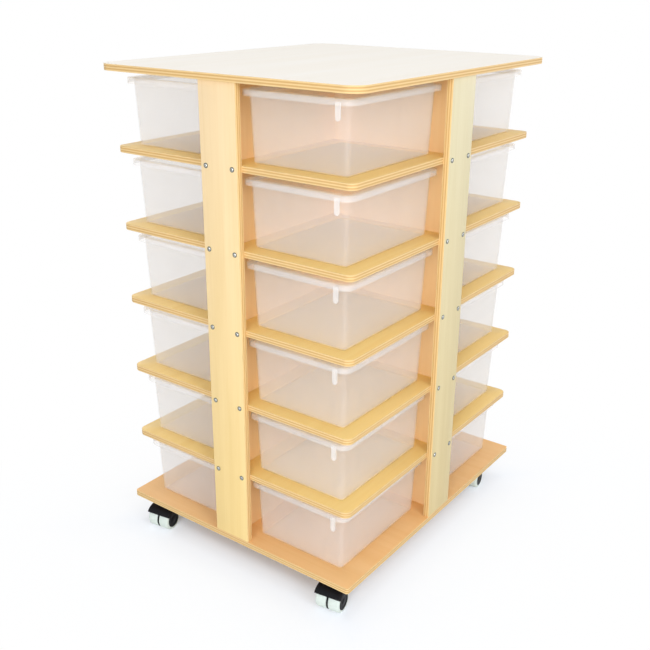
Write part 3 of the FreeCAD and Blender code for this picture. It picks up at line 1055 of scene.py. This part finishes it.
def floor_material(seen_colour, bounced_colour):
    """Matt near the object, blended into plain white with the distance from the base."""
    material = bpy.data.materials.new("studio_floor")
    material.use_nodes = True
    tree = material.node_tree
    tree.nodes.clear()
    output = add_node(tree, "ShaderNodeOutputMaterial")
    matt = add_node(tree, "ShaderNodeBsdfDiffuse")
    seen = seen_directly(tree)
    colour = mix_colours(tree, seen, bounced_colour, seen_colour)
    tree.links.new(colour, matt.inputs["Color"])
    beyond = []
    for axis in (0, 1):
        side = math_node(tree, "ABSOLUTE", object_axis(tree, axis))
        beyond.append(math_node(tree, "SUBTRACT", side, BASE_HIGH[axis]))
    inwards = math_node(tree, "ADD", math_node(tree, "MAXIMUM", *beyond), SHADE_DEPTH)
    share = math_node(tree, "DIVIDE", inwards, SHADE_DEPTH + SHADE_REACH)
    whiteness = ramp(tree, share, [(position, (level,) * 3) for position, level in WHITENESS])
    white = add_node(tree, "ShaderNodeEmission")
    white.inputs["Strength"].default_value = 1.0
    mix = add_node(tree, "ShaderNodeMixShader")
    tree.links.new(math_node(tree, "MULTIPLY", seen, whiteness), mix.inputs[0])
    tree.links.new(matt.outputs[0], mix.inputs[1])
    tree.links.new(white.outputs[0], mix.inputs[2])
    tree.links.new(mix.outputs[0], output.inputs["Surface"])
    return material


def make_world():
    """Even white light from all round, and plain white where the camera looks past the floor."""
    world = bpy.data.worlds.new("studio")
    bpy.context.scene.world = world
    world.use_nodes = True
    tree = world.node_tree
    tree.nodes.clear()
    output = add_node(tree, "ShaderNodeOutputWorld")
    light = add_node(tree, "ShaderNodeBackground")
    light.inputs["Strength"].default_value = WORLD_LEVEL
    backdrop = add_node(tree, "ShaderNodeBackground")
    backdrop.inputs["Strength"].default_value = 1.0
    for node in (light, backdrop):
        node.inputs["Color"].default_value = (1, 1, 1, 1)
    mix = add_node(tree, "ShaderNodeMixShader")
    tree.links.new(seen_directly(tree), mix.inputs[0])
    tree.links.new(light.outputs[0], mix.inputs[1])
    tree.links.new(backdrop.outputs[0], mix.inputs[2])
    tree.links.new(mix.outputs[0], output.inputs["Surface"])


def make_lamp(name, position, aim, size, level):
    """A square soft lamp that lights a matt white face turned to it at the aim to a level."""
    reach = Vector(aim) - Vector(position)
    lamp = bpy.data.lights.new(name, "AREA")
    lamp.size = size
    lamp.energy = level * math.pi ** 2 * reach.length_squared
    holder = bpy.data.objects.new(name, lamp)
    bpy.context.scene.collection.objects.link(holder)
    holder.location = position
    holder.rotation_euler = reach.to_track_quat("-Z", "Y").to_euler()


def make_camera():
    """A camera to the right of the front, looking down a little."""
    azimuth = math.radians(CAMERA_AZIMUTH)
    pitch = math.radians(CAMERA_PITCH)
    roll = math.radians(CAMERA_ROLL)
    camera = bpy.data.cameras.new("camera")
    camera.sensor_width = 36.0
    camera.lens = CAMERA_LENS
    holder = bpy.data.objects.new("camera", camera)
    bpy.context.scene.collection.objects.link(holder)
    level = math.cos(pitch)
    right = Vector((math.cos(azimuth), math.sin(azimuth), 0))
    behind = Vector((math.sin(azimuth) * level, -math.cos(azimuth) * level, math.sin(pitch)))
    up = behind.cross(right)
    tilted_right = right * math.cos(roll) + up * math.sin(roll)
    tilted_up = behind.cross(tilted_right)
    turn = Matrix((tilted_right, tilted_up, behind)).transposed().to_4x4()
    turn.translation = Vector(CAMERA_PLACE)
    holder.matrix_world = turn
    bpy.context.scene.camera = holder


# ---------------------------------------------------------------- making it


bpy.context.scene.view_settings.view_transform = "Standard"
make_camera()
make_floor(FLOOR_SEEN, FLOOR_BOUNCED)
make_world()
for name, position, aim, size, level in LAMPS:
    make_lamp(name, position, aim, size, level)

flat_edge = ply_edge("plywood_edge_flat", 2, BASE_UNDERSIDE, SHELF_PITCH)
front_edge = ply_edge("plywood_edge_front", 1, SHELF_HALF_DEPTH, mirrored=True)
side_edge = ply_edge("plywood_edge_side", 0, SHELF_HALF_WIDTH, mirrored=True)
# The last colour given to each plank veneer is painted shading, multiplied in towards the foot.
plank_front = veneer("plank_veneer_front", (0.92, 0.72, 0.46), (0.86, 0.65, 0.375), 2, (1.06, 1.04, 0.70))
plank_side = veneer("plank_veneer_side", (0.77, 0.71, 0.50), (0.71, 0.64, 0.41), 2, (1.0, 0.88, 0.64))
shelf_face = veneer("shelf_veneer", (0.97, 0.71, 0.28), (0.93, 0.65, 0.23), 1)
base_face = veneer("base_veneer", (0.95, 0.60, 0.28), (0.90, 0.54, 0.23), 0)
divider_face = veneer("divider_veneer", (0.95, 0.66, 0.36), (0.91, 0.60, 0.30), 2)
dowel_wood = veneer("dowel_beech", (0.78, 0.58, 0.36), (0.66, 0.45, 0.25), 2)

make_top(laminate(), flat_edge, shelf_face)
make_base(base_face, flat_edge)
shelves, shelf_sockets = quarter_shelf_tree()
for level in range(1, SHELF_LEVELS + 1):
    make_shelves(level, shelves, shelf_sockets, shelf_face, flat_edge)
for side in ("front", "back"):
    make_plank(side, plank_front, front_edge)
for side in ("left", "right"):
    make_plank(side, plank_side, side_edge)
for node in ("long_divider", "left_divider", "right_divider"):
    dress_node(node, divider_face)
dress_node("top_dowels", dowel_wood)

tray_plastics = [
    frosted("frosted_walls", (0.91, 0.885, 0.875), (0.88, 0.85, 0.84), 0.20),
    frosted("frosted_rim", (0.95, 0.94, 0.95), (0.92, 0.905, 0.915), 0.24),
    frosted("frosted_lug", (0.95, 0.94, 0.94), (0.92, 0.91, 0.91), 0.36),
    # Painted light: the floor's plastic is made paler than the walls' to make up for the shade it sits in
    # inside the bay.
    frosted("frosted_floor_painted_light", (0.99, 0.96, 0.95), (0.97, 0.935, 0.925), 0.36),
]
for bay in BAYS:
    for tier in range(1, TIERS + 1):
        make_tray(bay, tier, tray_plastics)

black_nylon = moulded("black_nylon", (0.011, 0.012, 0.014), (0.006, 0.006, 0.008), 0.12, 0.12)
pale_tread = moulded("pale_tread", (0.76, 0.85, 0.81), (0.70, 0.80, 0.76), 0.5, 0.05)
bright_zinc = zinc("bright_zinc", (0.66, 0.68, 0.67), (0.52, 0.54, 0.53), 0.25)
# Painted shade: the screws' flanges get this dark zinc, standing in for the shade round their heads.
painted_shade_zinc = zinc("painted_shade_zinc", (0.20, 0.22, 0.20), (0.13, 0.14, 0.13), 0.45)
for bay in BAYS:
    make_castor_body(bay, black_nylon)
    dress_node(f"castor_axle_{bay}", bright_zinc)
    for letter in "ab":
        make_wheel(bay, letter, pale_tread, black_nylon)
dress_node("castor_plates", bright_zinc)
dress_node("castor_pins", bright_zinc)

screws, screw_sockets = screw_tree()
for node, seats, length in (
    ("plank_screws", plank_seats(), PLANK_SCREW_LENGTH),
    ("castor_screws", castor_plate_seats(), CASTOR_SCREW_LENGTH),
    ("base_screws", base_seats(), BASE_SCREW_LENGTH),
):
    make_screws(node, seats, length, screws, screw_sockets, (bright_zinc, painted_shade_zinc))
